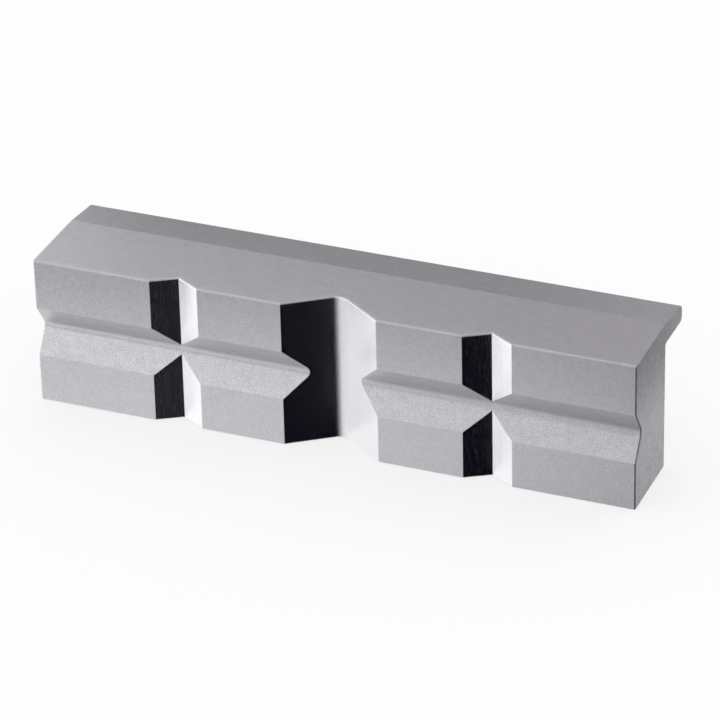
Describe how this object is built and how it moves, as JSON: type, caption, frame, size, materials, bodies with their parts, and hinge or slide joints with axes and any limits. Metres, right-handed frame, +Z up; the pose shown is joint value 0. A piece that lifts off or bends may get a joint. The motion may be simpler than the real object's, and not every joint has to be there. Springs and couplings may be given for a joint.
{
  "type": "protective vise jaw",
  "caption": "Light-metal protective jaw that hangs over a vise jaw by a hook lip, sticks to it by magnets, and grips round work in crossing prism grooves.",
  "frame": {"origin": "middle of the whole jaw's box at its flat bottom, in the plane that the jaw stands on", "axes": "+X along the jaw, -Y out of the front face with the prism grooves, +Y towards the vise's own jaw and the hook lip's tip, +Z up"},
  "size_m": [0.12, 0.0264, 0.0304],
  "materials": {
    "blasted_aluminium": "fine bead-blasted outer faces with smoother milled prism flanks",
    "plated_magnet": "bright nickel plating with light handling scratches"
  },
  "bodies": {
    "root": {"jaw_body": "blasted_aluminium", "magnet_left": "plated_magnet", "magnet_middle": "plated_magnet", "magnet_right": "plated_magnet"}
  },
  "joints": []
}
